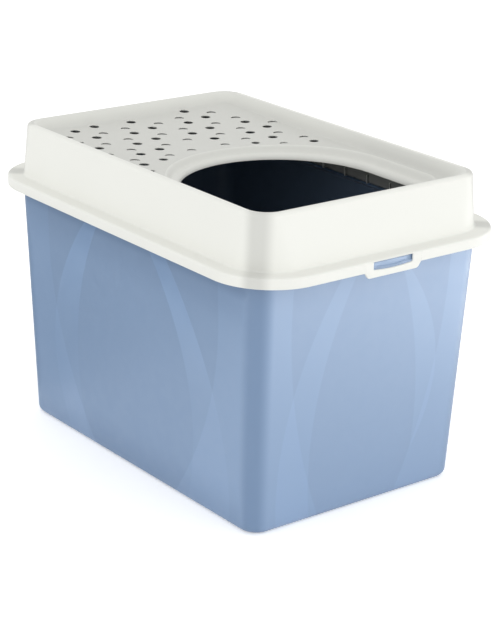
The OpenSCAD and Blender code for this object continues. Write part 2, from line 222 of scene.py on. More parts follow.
class StageSettings(PropertyGroup):
    """Camera, floor and lights."""

    turn: angle("Turn", 51.6, "Camera's turn round the box")
    height: angle("Height", 20.1, "Camera's angle above the floor")
    roll: angle("Roll", 1.6, "Camera's roll")
    distance: length("Distance", 2.5128, "Camera's distance")
    aim: FloatVectorProperty(
        name="Aim",
        default=(0.0098, 0.0128, 0.1664),
        description="Point that the camera looks at",
        unit="LENGTH",
    )
    focal: FloatProperty(
        name="Focal length", default=110.12, description="Camera's focal length in millimetres"
    )
    floor_size: length("Floor", 16.0, "Width of the floor")
    floor_grey: share("Floor grey", 0.95, "How much light the floor reflects")
    floor_lift: strength("Floor lift", 0.36, "Light that the floor gives off beside what it reflects")
    floor_bounce: strength("Floor bounce", 0.0, "The part of that light that reaches the box")
    horizon: strength("Horizon", 0.60, "Strength that the studio walls gain near the floor")
    zenith: strength("Zenith", 0.876, "Strength of the studio ceiling")
    end_gain: strength("End gain", 0.105, "Strength that the light gains towards the front end")
    side_gain: strength("Side gain", 0.04, "Strength that the light gains towards the camera's side")
    glow: strength("Glow", 3.4, "Strength of the card that puts a soft gloss on the front end")
    card: length("Dark card", 4.5, "Width of the black card behind the camera")
    side_card: length("Side card", 1.0, "Width of the black card on the floor")
    side_card_x: FloatProperty(
        name="Side card place", default=-0.26, description="Its front edge along the box", unit="LENGTH"
    )


# Points closer than this are welded or count as lying on a cut
WELD = 1e-6
# Spare distance for telling which points lie on a line
CLOSE = 1e-5
# An edge sharper than this, in degrees, gets a crease
CREASE = 34
# A face looks towards the middle where its place times its normal, both taken
# level, is less than this
FACES_IN = -0.01
# Steps round one corner of a shell
CORNER_STEPS = 20
# Distance between the columns of points on the side walls and on the end walls
SIDE_MARK = 0.020
END_MARK = 0.022
# Columns on each half of a side wall
MARKS = 9
# Halvings of the search for a point's place on the inner slope
HALVINGS = 26


def smooth(t):
    """An S-curve from 0 to 1."""
    return t * t * (3 - 2 * t)


def arc(start, end, steps):
    """Angles in radians from start to end, both given in degrees."""
    return [math.radians(start + (end - start) * i / steps) for i in range(steps + 1)]


def arc_points(x, y, radius, angles):
    """Plan points at angles round a centre."""
    return [(x + radius * math.cos(a), y + radius * math.sin(a)) for a in angles]


def sagging_line(half, height, sag, steps):
    """Points from -half to half across and up, whose middle hangs lower by sag."""
    points = []
    for k in range(steps + 1):
        t = k / steps
        points.append((-half + 2 * half * t, height - sag * math.sin(math.pi * t)))
    return points


def end_marks(scene):
    """Places across an end wall that have a column of points, the latch tab's sides among them."""
    tab = scene.litter_latch.width / 2 + scene.litter_latch.side_gap
    evenly = [END_MARK * k for k in range(-5, 6) if abs(k) != 2]
    return sorted(evenly + [-tab, tab])


def ring(scene, in_x, in_y, radius, in_rear=None):
    """Plan points of a rounded rectangle, in from the lid's edge by in_x at the ends and in_y at the sides.

    The rear end, at low X, can have an inset of its own.
    """
    front_x = HALF_LENGTH - in_x
    rear_x = HALF_LENGTH - (in_x if in_rear is None else in_rear)
    half_y = HALF_WIDTH - in_y
    side = [SIDE_MARK * k for k in range(-MARKS, MARKS + 1)]
    across = end_marks(scene)
    straights = [
        [(x, half_y) for x in reversed(side)],
        [(-rear_x, y) for y in reversed(across)],
        [(x, -half_y) for x in side],
        [(front_x, y) for y in across],
    ]
    points = []
    for quarter in range(4):
        centre_x = front_x - radius if quarter in (0, 3) else radius - rear_x
        centre_y = (half_y - radius) * (1 if quarter < 2 else -1)
        turned = arc(90 * quarter, 90 * quarter + 90, CORNER_STEPS)
        points += arc_points(centre_x, centre_y, radius, turned) + straights[quarter]
    return points


class Shell:
    """Collects the points and faces of one mesh."""

    def __init__(self):
        self.points = []
        self.faces = []

    def loop(self, plan, z):
        """Adds a level loop and returns the numbers of its points."""
        first = len(self.points)
        self.points += [(x, y, z) for x, y in plan]
        return list(range(first, len(self.points)))

    def loft(self, loops, open_at=None):
        """Joins each loop to the next. A face whose four points pass open_at is left out."""
        for low, high in zip(loops, loops[1:]):
            for i in range(len(low)):
                j = (i + 1) % len(low)
                face = (low[i], low[j], high[j], high[i])
                if open_at is None or not all(open_at(self.points[k]) for k in face):
                    self.faces.append(face)

    def mesh(self, name):
        """A mesh of all points and faces, with doubled points welded."""
        made = bmesh.new()
        corners = [made.verts.new(p) for p in self.points]
        for face in self.faces:
            made.faces.new([corners[k] for k in face])
        bmesh.ops.remove_doubles(made, verts=made.verts, dist=WELD)
        loose = [v for v in made.verts if not v.link_faces]
        bmesh.ops.delete(made, geom=loose, context="VERTS")
        mesh = bpy.data.meshes.new(name)
        made.to_mesh(mesh)
        made.free()
        return mesh


def add_object(name, mesh):
    """Puts a mesh into the scene as an object at the origin."""
    piece = bpy.data.objects.new(name, mesh)
    bpy.context.scene.collection.objects.link(piece)
    return piece


def bake_modifiers(piece):
    """Applies an object's modifiers to its mesh."""
    evaluated = piece.evaluated_get(bpy.context.evaluated_depsgraph_get())
    mesh = bpy.data.meshes.new_from_object(evaluated)
    piece.modifiers.clear()
    piece.data = mesh


def shade_smooth(piece):
    """Smooth shading with creases at the sharp edges."""
    piece.data.shade_smooth()
    piece.data.set_sharp_from_angle(angle=math.radians(CREASE))


# Bin

# Rounding of the rim's edge, and fillet between the wall and the rim
RIM_TURN = 0.002
RIM_FILLET = 0.003
# How far the foot ring's inner edge slants in
FOOT_SLANT = 0.002
# How much less rounded the corners of the foot ring are than the wall's, at its
# inner edge's top and on the floor
FOOT_SHARPER_TOP = 0.006
FOOT_SHARPER = 0.005
# How much of the base rounding isn't taken off the corners' radius, outside and inside
KEPT_OUTSIDE = 0.006
KEPT_INSIDE = 0.003
# Catches: how far one stops below the rim, how much higher its ends are than the
# rim's lower edge, the sag of its lower edge, and its rounding
CATCH_BELOW = 0.001
CATCH_ABOVE = 0.0006
CATCH_SAG = 0.0014
CATCH_EDGE = 0.0005
# The bead on a catch: half its length as a share of the window, how far it
# stands out, its sag, the heights at its ends, above the catch's lowest point,
# of its upper and its lower edge, and its rounding
BEAD_HALF = 0.36
BEAD_OUT = 0.0006
BEAD_SAG = 0.0022
BEAD_HIGH = 0.0026
BEAD_LOW = 0.0016
BEAD_EDGE = 0.0002


def bin_profile(s, lid):
    """The bin's section from under its floor, up outside, over the rim and down to the floor inside."""
    base_end = s.overhang_end + s.taper_end
    base_side = s.overhang_side + s.taper_side
    rim_in = lid.wall + s.rim_gap
    rim_radius = lid.corner - rim_in
    under_rim = BIN_Z - s.wall
    rim_low = BIN_Z - s.rim_edge
    rows = []

    def row(end, side, z, radius):
        rows.append((end, side, z, radius))

    foot = s.base_round + s.foot_width
    top = foot + FOOT_SLANT
    row(base_end + top, base_side + top, s.foot_height, s.base_corner - FOOT_SHARPER_TOP)
    row(base_end + foot, base_side + foot, 0.0, s.base_corner - FOOT_SHARPER)
    for a in arc(0, 90, 10):
        reach = 1 - math.sin(a)
        inward = s.base_round * reach
        radius = s.base_corner - (s.base_round - KEPT_OUTSIDE) * reach
        row(base_end + inward, base_side + inward, s.base_round * (1 - math.cos(a)), radius)
    wall_top = under_rim - RIM_FILLET
    for k in range(1, 8):
        t = k / 8
        z = s.base_round + (wall_top - s.base_round) * t
        radius = s.base_corner + (s.corner - s.base_corner) * t
        row(base_end - s.taper_end * t, base_side - s.taper_side * t, z, radius)
    for a in arc(0, 90, 4):
        out = RIM_FILLET * (1 - math.cos(a))
        z = wall_top + RIM_FILLET * math.sin(a)
        row(s.overhang_end - out, s.overhang_side - out, z, s.corner + out)
    row(rim_in + s.wall, rim_in + s.wall, under_rim, rim_radius - s.wall)
    row(rim_in + s.wall, rim_in + s.wall, rim_low, rim_radius - s.wall)
    row(rim_in, rim_in, rim_low, rim_radius)
    for a in arc(0, 90, 6):
        inward = rim_in + RIM_TURN * (1 - math.cos(a))
        row(inward, inward, BIN_Z - RIM_TURN + RIM_TURN * math.sin(a), rim_radius - inward + rim_in)
    for a in arc(0, 90, 6):
        inward = s.wall - RIM_TURN + RIM_TURN * math.sin(a)
        z = BIN_Z - RIM_TURN * (1 - math.cos(a))
        radius = s.corner - s.wall + RIM_TURN * (1 - math.sin(a))
        row(s.overhang_end + inward, s.overhang_side + inward, z, radius)
    for k in range(1, 8):
        t = 1 - k / 8
        z = s.base_round + (wall_top - s.base_round) * t
        radius = s.base_corner + (s.corner - s.base_corner) * t - s.wall
        row(base_end - s.taper_end * t + s.wall, base_side - s.taper_side * t + s.wall, z, radius)
    inner_round = s.base_round - s.wall
    for a in arc(90, 0, 8):
        reach = 1 - math.sin(a)
        inward = s.wall + inner_round * reach
        z = s.foot_height + s.wall + inner_round * (1 - math.cos(a))
        radius = s.base_corner - s.wall - (inner_round - KEPT_INSIDE) * reach
        row(base_end + inward, base_side + inward, z, radius)
    return rows


def catch_outline(s, latch):
    """Outline of a catch plate across and up: straight on top, with a lower edge that sags."""
    half = latch.window / 2 - latch.catch_side
    low = BIN_Z - s.rim_edge + CATCH_ABOVE
    top = BIN_Z - CATCH_BELOW
    return [(half, top), (-half, top)] + sagging_line(half, low, CATCH_SAG, 16)


def plate(made, outline, back, front):
    """Adds an upright plate to a bmesh, its outline given across and up. Returns its edges."""
    corners = [made.verts.new((front, y, z)) for y, z in outline]
    face = made.faces.new(corners)
    grown = bmesh.ops.extrude_face_region(made, geom=[face])["geom"]
    moved = [g for g in grown if isinstance(g, bmesh.types.BMVert)]
    bmesh.ops.translate(made, verts=moved, vec=(back - front, 0, 0))
    touched = {e for v in corners + moved for e in v.link_edges}
    bmesh.ops.recalc_face_normals(made, faces=list({f for e in touched for f in e.link_faces}))
    return list(touched)


def round_edges(made, edges, radius, segments=2):
    """Rounds edges of a bmesh."""
    bmesh.ops.bevel(made, geom=edges, offset=radius, segments=segments, profile=0.5, affect="EDGES")


def turn_round(made, corners):
    """Turns points of a bmesh to the box's other end."""
    bmesh.ops.rotate(made, verts=corners, cent=(0, 0, 0), matrix=Matrix.Rotation(math.pi, 3, "Z"))


def catches(s, lid, latch):
    """The two catch plates on the bin's rim, each with a bead along its lower edge."""
    face = HALF_LENGTH - latch.thickness - latch.catch_gap
    back = HALF_LENGTH - lid.wall - s.rim_gap - s.wall
    made = bmesh.new()
    outline = catch_outline(s, latch)
    round_edges(made, plate(made, outline, back, face - BEAD_OUT), CATCH_EDGE)
    low = min(z for _, z in outline)
    half = latch.window * BEAD_HALF
    upper = sagging_line(half, low + BEAD_HIGH, BEAD_SAG, 16)
    lower = sagging_line(half, low + BEAD_LOW, BEAD_SAG, 16)
    round_edges(made, plate(made, upper + lower[::-1], back, face), BEAD_EDGE)
    turned = bmesh.ops.duplicate(made, geom=made.verts[:] + made.edges[:] + made.faces[:])["geom"]
    turn_round(made, [g for g in turned if isinstance(g, bmesh.types.BMVert)])
    return made


def add_bin(scene):
    """The bin: a tapered tub whose rim turns down, with a catch at each end."""
    s = scene.litter_bin
    lid = scene.litter_lid
    shell = Shell()
    loops = [shell.loop(ring(scene, end, side, radius), z) for end, side, z, radius in bin_profile(s, lid)]
    shell.loft(loops)
    shell.faces.append(tuple(reversed(loops[0])))
    shell.faces.append(tuple(loops[-1]))
    mesh = shell.mesh("bin_shell")
    made = catches(s, lid, scene.litter_latch)
    made.from_mesh(mesh)
    made.to_mesh(mesh)
    made.free()
    piece = add_object("bin_shell", mesh)
    shade_smooth(piece)
    mesh.materials.append(bin_plastic(s))
    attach(piece, "bin")
    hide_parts("bin")


# Lid

# Rounding of the skirt's lower edge
NOSE = 0.0006
# Where the latch tabs' notches end on the rounding between the skirt and the
# ledge, in degrees, which is at one of its rows of points
NOTCH_TURN = 24
# Points of the lid's top closer than this are one
TOP_WELD = 1e-7
# How far the panel's rear dish reaches, and half the width of its sideways dish
DISH_RUN = 0.1385
DISH_HALF = 0.147
# Share of the way down the inner slope from which a point counts as on the panel
ON_PANEL = 0.999
# Where the vent pattern is counted from
VENT_ORIGIN = (-0.2216, -0.0165)
# Rows and steps that the pattern is counted over
VENT_ROWS = range(-6, 17)
VENT_STEPS = range(-6, 9)
# Places in the pattern that have no vent, as row and step
BARE_PLACES = ((-3, 4), (-2, 4), (-1, 1), (4, -2), (4, 2), (5, 7), (7, -1))
# Small round vents beside the pattern: place and size
SMALL_VENTS = ((-0.016, -0.126, 0.6), (-0.168, -0.1287, 0.55))
# How much nearer a vent's centre may be to the slope or the lip than the pattern's own gap
VENT_MARGIN = 0.002
# The panel's extra points: their distance, their columns and rows, their least
# distance from the lip, and from a vent's centre as a share of its width
FILL_STEP = 0.0085
FILL_COLUMNS = range(-26, 8)
FILL_ROWS = range(-18, 19)
FILL_FROM_LIP = 0.003
FILL_FROM_VENT = 0.95
# Loops down the inner slope, down the lip to its seat, and from there to its edge
SLOPE_LOOPS = 10
LIP_LOOPS = 7
# How far a rib's foot stands above the underside of the ledge
RIB_LIFT = 0.001
# Rounding of a rib's edges
RIB_EDGE = 0.0004


def lid_profile(s):
    """The lid's outer section from the skirt's edge up to the rim's inner edge."""
    ledge_z = SKIRT_Z + s.skirt
    wall_top = RIM_Z - s.rim_round
    rows = []

    def row(inward, z):
        rows.append((inward, inward, z, s.corner - inward))

    for a in arc(0, 90, 3):
        row(NOSE * (1 - math.sin(a)), SKIRT_Z + NOSE * (1 - math.cos(a)))
    for k in (1, 2, 3):
        row(0.0, SKIRT_Z + NOSE + (s.skirt - NOSE - s.edge_round) * k / 4)
    for a in arc(0, 84, 7) + [math.pi / 2]:
        row(s.edge_round * (1 - math.cos(a)), ledge_z - s.edge_round + s.edge_round * math.sin(a))
    start = s.ledge - s.foot_round
    for k in (1, 2, 3):
        row(s.edge_round + (start - s.edge_round) * k / 4, ledge_z)
    for a in arc(0, 84, 6):
        row(start + s.foot_round * math.sin(a), ledge_z + s.foot_round * (1 - math.cos(a)))
    foot_in, _, foot_z, foot_corner = rows[-1]
    for k in range(1, 9):
        t = k / 8
        end = foot_in + (s.ledge + s.lean_end - foot_in) * t
        side = foot_in + (s.ledge + s.lean_side - foot_in) * t
        corner = foot_corner + (s.rim_corner - foot_corner) * t
        rows.append((end, side, foot_z + (wall_top - foot_z) * t, corner))
    for a in arc(9, 90, 9):
        inward = s.rim_round * (1 - math.cos(a))
        end = s.ledge + s.lean_end + inward
        side = s.ledge + s.lean_side + inward
        rows.append((end, side, wall_top + s.rim_round * math.sin(a), s.rim_corner - inward))
    return rows


def slope_ring(s, t):
    """Insets and corner radius of the lid's inner slope, from t = 0 at the rim to t = 1 at its foot.

    They are the front end's inset, the sides', the corners' radius and the rear end's inset.
    """
    end = s.ledge + s.lean_end + s.rim_round + s.rim_end
    side = s.ledge + s.lean_side + s.rim_round + s.rim_side + s.slope_side * t
    radius = s.rim_inner + (s.slope_corner - s.rim_inner) * t
    return end + s.slope_front * t, side, radius, end + s.slope_rear * t


def past_corner(over_x, over_y):
    """Distance out from a sharp corner, given the distance past each of its sides. Negative inside both."""
    outside = np.hypot(np.maximum(over_x, 0), np.maximum(over_y, 0))
    return outside + np.minimum(np.maximum(over_x, over_y), 0)


def slope_share(s, x, y):
    """How far down the inner slope each point lies, from 0 at the rim to 1 on the panel."""
    low = np.zeros_like(x)
    high = np.ones_like(x)
    for _ in range(HALVINGS):
        t = (low + high) / 2
        front, side, radius, rear = slope_ring(s, t)
        over_x = np.maximum(x - HALF_LENGTH + front, -x - HALF_LENGTH + rear) + radius
        over_y = np.abs(y) - (HALF_WIDTH - side - radius)
        inside_ring = past_corner(over_x, over_y) < radius
        low = np.where(inside_ring, t, low)
        high = np.where(inside_ring, high, t)
    return high


def opening_distance(s, x, y):
    """Distance of each point out from the edge of the entry opening."""
    run = s.opening_x + s.opening_run - s.opening_corner
    over_x = x - run
    over_y = np.abs(y) - (s.opening - s.opening_corner)
    square = past_corner(over_x, over_y)
    bow = np.hypot(x - s.opening_x, y) - s.opening
    return np.where(x > s.opening_x, square - s.opening_corner, bow)


def lid_height(s, x, y):
    """Height of the lid's upper face inside its rim."""
    rearward = np.minimum(x + s.dish_from, 0) / DISH_RUN
    panel = RIM_Z - s.drop + s.dish_rear * rearward**2 + s.dish_side * (y / DISH_HALF) ** 2
    t = smooth(slope_share(s, x, y))
    height = RIM_Z + (panel - RIM_Z) * t
    edge = RIM_Z - s.drop - s.lip_drop
    place = np.clip(opening_distance(s, x, y) / s.lip, 0, 1)
    step = s.lip_step * smooth(np.clip((1 - place) / (1 - s.lip_seat), 0, 1))
    roll = np.clip(1 - place / s.lip_seat, 0, 1)
    fall = step + (1 - s.lip_step) * (1 - np.sqrt(1 - roll * roll))
    return height + (edge - height) * fall


def opening_loop(s, out):
    """Plan points round the entry opening, grown by out."""
    radius = s.opening + out
    corner = s.opening_corner + out
    far = s.opening_x + s.opening_run + out
    corner_x = far - corner
    corner_y = radius - corner
    straight = corner_x - s.opening_x
    points = arc_points(corner_x, corner_y, corner, arc(0, 90, 14))
    points += [(corner_x - straight * k / 8, radius) for k in range(1, 8)]
    points += arc_points(s.opening_x, 0, radius, arc(90, 270, 90))
    points += [(s.opening_x + straight * k / 8, -radius) for k in range(1, 8)]
    points += arc_points(corner_x, -corner_y, corner, arc(270, 360, 14))
    points += [(far, -corner_y * (1 - k / 9)) for k in range(1, 18)]
    return points


def vent_places(s):
    """Centre, kind and size of each vent.

    Rows run across the lid at an angle, with round vents and crescents in turn.
    """
    _, side, _, rear = slope_ring(s, 1)
    field_rear = HALF_LENGTH - rear
    field_side = HALF_WIDTH - side - VENT_MARGIN
    field_gap = s.opening + s.lip + s.vent / 2 - VENT_MARGIN
    cos, sin = math.cos(s.vent_turn), math.sin(s.vent_turn)
    places = [(x, y, True, size) for x, y, size in SMALL_VENTS]
    for row in VENT_ROWS:
        for step in VENT_STEPS:
            u = row * s.vent_row
            v = step * s.vent_step - (s.vent_shift if row % 2 else 0)
            v += s.vent_pair * (-1 if step % 2 else 1)
            x = VENT_ORIGIN[0] + u * cos - v * sin
            y = VENT_ORIGIN[1] + u * sin + v * cos
            out = math.hypot(x - s.opening_x, y)
            on_panel = -field_rear < x < s.opening_x and abs(y) < field_side
            if on_panel and out > field_gap and (row, step) not in BARE_PLACES:
                near = max(1 - (out - field_gap) / s.vent_fade, 0)
                places.append((x, y, (row + step) % 2 == 0, 1 - (1 - s.vent_least) * near))
    return places


def vent_outline(s, place, grow):
    """Plan points round a vent, grown by grow. A crescent has its hollow side towards the entry opening."""
    x, y, is_round, size = place
    radius = s.vent / 2 * size + grow
    if is_round:
        return arc_points(x, y, radius, arc(0, 360, 36)[:-1])
    radius = s.vent / 2 * size * s.crescent_size + grow
    hollow = s.hollow * size - grow
    apart = (s.crescent - s.vent / 2 * s.crescent_size + s.hollow) * size
    meet = (apart**2 + radius**2 - hollow**2) / (2 * apart)
    half = math.degrees(math.acos(meet / radius))
    half_in = math.degrees(math.acos((apart - meet) / hollow))
    points = arc_points(s.crescent_lead, 0, radius, arc(half, 360 - half, 28))
    curved_in = arc(180 + half_in, 180 - half_in, 12)[1:-1]
    points += arc_points(s.crescent_lead + apart, 0, hollow, curved_in)
    cos, sin = math.cos(s.vent_turn), math.sin(s.vent_turn)
    return [(x + u * cos - v * sin, y + u * sin + v * cos) for u, v in points]


def inside(points, loop):
    """Which of the points lie inside a closed loop."""
    x, y = points[:, 0], points[:, 1]
    found = np.zeros(len(points), bool)
    for (ax, ay), (bx, by) in zip(loop, loop[1:] + loop[:1]):
        if ay != by:
            crosses = (ay > y) != (by > y)
            found ^= crosses & (x < (bx - ax) * (y - ay) / (by - ay) + ax)
    return found


def panel_fill(s, vents):
    """A grid of points over the flat part of the panel, clear of the vents and the lip."""
    grid = [(FILL_STEP * i, FILL_STEP * j) for i in FILL_COLUMNS for j in FILL_ROWS]
    x, y = np.array(grid).T
    clear = (slope_share(s, x, y) > ON_PANEL) & (opening_distance(s, x, y) > s.lip + FILL_FROM_LIP)
    for vent_x, vent_y, _, _ in vents:
        clear &= np.hypot(x - vent_x, y - vent_y) > s.vent * FILL_FROM_VENT
    return [grid[k] for k in np.flatnonzero(clear)]


def add_lid_top(shell, scene):
    """Adds the slope inside the rim, the vented panel and the rolled lip to the lid's shell."""
    s = scene.litter_lid
    vents = vent_places(s)
    slopes = [ring(scene, *slope_ring(s, k / SLOPE_LOOPS)) for k in range(SLOPE_LOOPS + 1)]
    down_lip = [1 - (1 - s.lip_seat) * k / LIP_LOOPS for k in range(LIP_LOOPS + 1)]
    down_lip += [s.lip_seat * (1 - math.sin(a)) for a in arc(90 / (LIP_LOOPS + 1), 90, LIP_LOOPS)]
    lips = [opening_loop(s, s.lip * outward) for outward in down_lip]
    holes = [vent_outline(s, place, 0.0) for place in vents]
    chamfers = [vent_outline(s, place, s.vent_edge) for place in vents]
    loops = slopes + lips + chamfers + holes
    points = []
    edges = []
    for loop in loops:
        first = len(points)
        points += loop
        count = len(loop)
        edges += [(first + k, first + (k + 1) % count) for k in range(count)]
    points += panel_fill(s, vents)
    sunk_from = sum(len(loop) for loop in slopes + lips + chamfers)
    sunk_to = sunk_from + sum(len(loop) for loop in holes)
    flat = [Vector(p) for p in points]
    made, _, faces, origins, _, _ = delaunay_2d_cdt(flat, edges, [], 0, TOP_WELD)
    plan = np.array([tuple(p) for p in made])
    height = lid_height(s, plan[:, 0], plan[:, 1])
    flat_part = slope_share(s, plan[:, 0], plan[:, 1]) > ON_PANEL
    for k, origin in enumerate(origins):
        if flat_part[k] and any(sunk_from <= o < sunk_to for o in origin):
            height[k] -= s.vent_edge
    middle = np.array([plan[list(face)].mean(axis=0) for face in faces])
    gone = inside(middle, lips[-1]) | ~inside(middle, slopes[0])
    for hole in holes:
        gone |= inside(middle, hole)
    first = len(shell.points)
    shell.points += [(x, y, z) for (x, y), z in zip(plan, height)]
    for face, dropped in zip(faces, gone):
        if not dropped:
            shell.faces.append(tuple(first + k for k in face))


def rib_outline(s, lean):
    """Outline of a rib, inward and up from the foot of a wall that leans in by lean."""
    foot = s.wall + s.foot_round - RIB_LIFT
    rise = RIM_Z - s.rim_round - SKIRT_Z - s.skirt - s.foot_round
    slant = lean * (s.rib_height - foot) / rise
    back = -s.wall / 2
    top = s.rib_height
    return [(back, 0), (s.rib_depth, 0), (s.rib_depth + slant, top), (back + slant, top), (back, foot)]


def add_rib(made, s, lean, foot, inward):
    """Adds one rib to a bmesh, standing at a wall's foot and pointing inward."""
    upward = Vector((0, 0, 1))
    across = inward.cross(upward)
    outline = rib_outline(s, lean)
    sides = []
    for half in (-s.rib_thickness / 2, s.rib_thickness / 2):
        sides.append([made.verts.new(foot + inward * u + upward * v + across * half) for u, v in outline])
    faces = [made.faces.new(sides[0]), made.faces.new(list(reversed(sides[1])))]
    for k in range(len(outline)):
        following = (k + 1) % len(outline)
        faces.append(made.faces.new((sides[0][k], sides[1][k], sides[1][following], sides[0][following])))
    bmesh.ops.recalc_face_normals(made, faces=faces)
    for face in faces:
        face.material_index = 1
    edges = list({e for face in faces for e in face.edges})
    round_edges(made, edges, RIB_EDGE)


def add_ribs(made, s):
    """Adds the upright ribs inside the lid's walls to a bmesh."""
    low = SKIRT_Z + s.skirt - s.wall + RIB_LIFT
    wall_x = HALF_LENGTH - s.ledge - s.wall
    wall_y = HALF_WIDTH - s.ledge - s.wall
    for sign in (-1, 1):
        for k in range(-3, 3):
            foot = Vector((s.rib_lead + k * s.rib_pitch, sign * wall_y, low))
            add_rib(made, s, s.lean_side, foot, Vector((0, -sign, 0)))
        for k in (-1, 1):
            foot = Vector((sign * wall_x, k * s.rib_pitch, low))
            add_rib(made, s, s.lean_end, foot, Vector((-sign, 0, 0)))


def mark_faces(mesh, s):
    """Gives inner faces, the dished top, the lip and the vents' walls materials of their own, darker copies
    of the outer one as painted shade.
    """
    count = len(mesh.polygons)
    centres = np.empty(count * 3)
    normals = np.empty(count * 3)
    mesh.polygons.foreach_get("center", centres)
    mesh.polygons.foreach_get("normal", normals)
    x, y, z = centres.reshape(-1, 3).T
    out_x, out_y, up = normals.reshape(-1, 3).T
    down_slope = slope_share(s, x, y)
    from_opening = opening_distance(s, x, y)
    panel_z = RIM_Z - s.drop
    spare = 0.001
    below_lip = z < panel_z - s.lip_drop - s.wall - spare
    inner = (x * out_x + y * out_y < FACES_IN) & below_lip
    upright = np.abs(up) < 0.3
    in_panel = (z > panel_z - s.wall - spare) & (from_opening > s.lip + spare / 2)
    vent_wall = upright & in_panel & (down_slope > 0.9)
    upward = up > 0.1
    dished = upward & (down_slope > 0.02) & (z > panel_z - s.lip_drop)
    on_lip = dished & (from_opening < s.lip)
    kinds = np.select([vent_wall, inner, on_lip, dished], [4, 1, 3, 2], 0)
    mesh.polygons.foreach_set("material_index", kinds.astype(np.int32))


def notch_top(s):
    """Height of the top of the notches that hold the latch tabs."""
    return SKIRT_Z + s.skirt - s.edge_round + s.edge_round * math.sin(math.radians(NOTCH_TURN))


def add_lid(scene):
    """The lid: skirt, ledge, wall, rim, vented panel and the lip round its entry opening."""
    s = scene.litter_lid
    latch = scene.litter_latch
    shell = Shell()
    half = latch.width / 2 + latch.side_gap
    top = notch_top(s) + CLOSE

    def in_notch(p):
        return abs(p[1]) < half + CLOSE and p[2] < top and abs(p[0]) > HALF_LENGTH - s.edge_round

    rows = lid_profile(s)
    rim_end, rim_side, rim_radius, _ = slope_ring(s, 0)
    loops = [shell.loop(ring(scene, end, side, radius), z) for end, side, z, radius in rows]
    loops.append(shell.loop(ring(scene, rim_end, rim_side, rim_radius), RIM_Z))
    shell.loft(loops, in_notch)
    add_lid_top(shell, scene)
    piece = add_object("lid_shell", shell.mesh("lid_shell"))
    thicken = piece.modifiers.new("wall", "SOLIDIFY")
    thicken.thickness = s.wall
    thicken.offset = -1.0
    bake_modifiers(piece)
    mark_faces(piece.data, s)
    made = bmesh.new()
    made.from_mesh(piece.data)
    add_ribs(made, s)
    made.to_mesh(piece.data)
    made.free()
    shade_smooth(piece)
    piece.data.materials.append(lid_plastic(s))
    piece.data.materials.append(lid_plastic(s, "shaded_white_plastic", s.inside))
    piece.data.materials.append(lid_plastic(s, "dished_painted_shade_plastic", s.vented, s.vented_edge))
    piece.data.materials.append(lid_plastic(s, "lip_painted_shade_plastic", s.lip_share))
    piece.data.materials.append(lid_plastic(s, "vent_wall_painted_shade_plastic", s.vent_wall))
    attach(piece, "lid")
    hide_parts("lid")


# Latches

# Steps round each rounded corner of a tab
FILLET_STEPS = 6
# Rounding of the window's lower corners
WINDOW_CORNER = 0.0012
# Rows of points across the top of a tab, where it bends, and their distance
BEND_ROWS = 6
BEND_STEP = 0.0006


def filleted(corners):
    """Points of an outline whose corners, given as across, up and radius, are rounded."""
    points = []
    count = len(corners)
    for k, (y, z, radius) in enumerate(corners):
        here = Vector((y, z))
        if radius == 0:
            points.append(here)
            continue
        before = (Vector(corners[k - 1][:2]) - here).normalized()
        after = (Vector(corners[(k + 1) % count][:2]) - here).normalized()
        half = before.angle(after) / 2
        middle = here + (before + after).normalized() * radius / math.sin(half)
        start = here + before * radius / math.tan(half) - middle
        end = here + after * radius / math.tan(half) - middle
        turn = start.angle_signed(end)
        for i in range(FILLET_STEPS + 1):
            a = -turn * i / FILLET_STEPS
            points.append(middle + Matrix.Rotation(a, 2) @ start)
    return points


def tab_outline(s, top):
    """Outline of a latch tab across and up: a U round the window."""
    half = s.width / 2
    low_half = s.low_width / 2
    window = s.window / 2
    low = SKIRT_Z - s.drop
    sill = low + s.window_low
    outer = [(half, top, 0), (half, SKIRT_Z, 0), (low_half, low, s.corner)]
    left = [(-low_half, low, s.corner), (-half, SKIRT_Z, 0), (-half, top, 0)]
    window_left = [(-window, top, 0), (-window, sill, WINDOW_CORNER)]
    window_right = [(window, sill, WINDOW_CORNER), (window, top, 0)]
    sagging = [(y, z, 0) for y, z in sagging_line(window, sill, s.window_sag, 12)[1:-1]]
    return filleted(outer + left + window_left + sagging + window_right)


def tab_mesh(s, lid, sign):
    """A windowed latch tab at one end, its top following the rounding of the lid's edge."""
    top = notch_top(lid)
    made = bmesh.new()
    outline = [(p.x, p.y) for p in tab_outline(s, top)]
    edges = plate(made, outline, HALF_LENGTH - s.thickness, HALF_LENGTH)
    rounded = []
    for e in edges:
        a, b = (v.co for v in e.verts)
        along = abs(a.x - b.x) < CLOSE
        on_side = min(abs(a.y), abs(b.y)) > s.width / 2 - CLOSE
        on_top = min(a.z, b.z) > top - CLOSE
        if along and not on_side and not on_top:
            rounded.append(e)
    round_edges(made, rounded, s.edge, 3)
    for k in range(1, BEND_ROWS + 1):
        cut = top - BEND_STEP * k
        everything = made.verts[:] + made.edges[:] + made.faces[:]
        bmesh.ops.bisect_plane(made, geom=everything, plane_co=(0, 0, cut), plane_no=(0, 0, 1), dist=WELD)
    straight = SKIRT_Z + lid.skirt - lid.edge_round
    for v in made.verts:
        if v.co.z > straight and v.co.x > HALF_LENGTH - s.thickness / 2:
            lift = min((v.co.z - straight) / lid.edge_round, 1.0)
            v.co.x -= lid.edge_round * (1 - math.sqrt(1 - lift * lift))
    if sign < 0:
        turn_round(made, made.verts[:])
    mesh = bpy.data.meshes.new("latch_tab")
    made.to_mesh(mesh)
    made.free()
    return mesh


def add_latches(scene):
    """The two latch tabs. Each hangs from the lid's edge, where the real tab bends; here its top follows the
    edge's rounding.
    """
    s = scene.litter_latch
    lid = scene.litter_lid
    plastic = lid_plastic(lid)
    for node, sign in (("front_latch", 1), ("rear_latch", -1)):
        piece = add_object(node + "_tab", tab_mesh(s, lid, sign))
        shade_smooth(piece)
        piece.data.materials.append(plastic)
        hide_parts(node)
        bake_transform(piece)
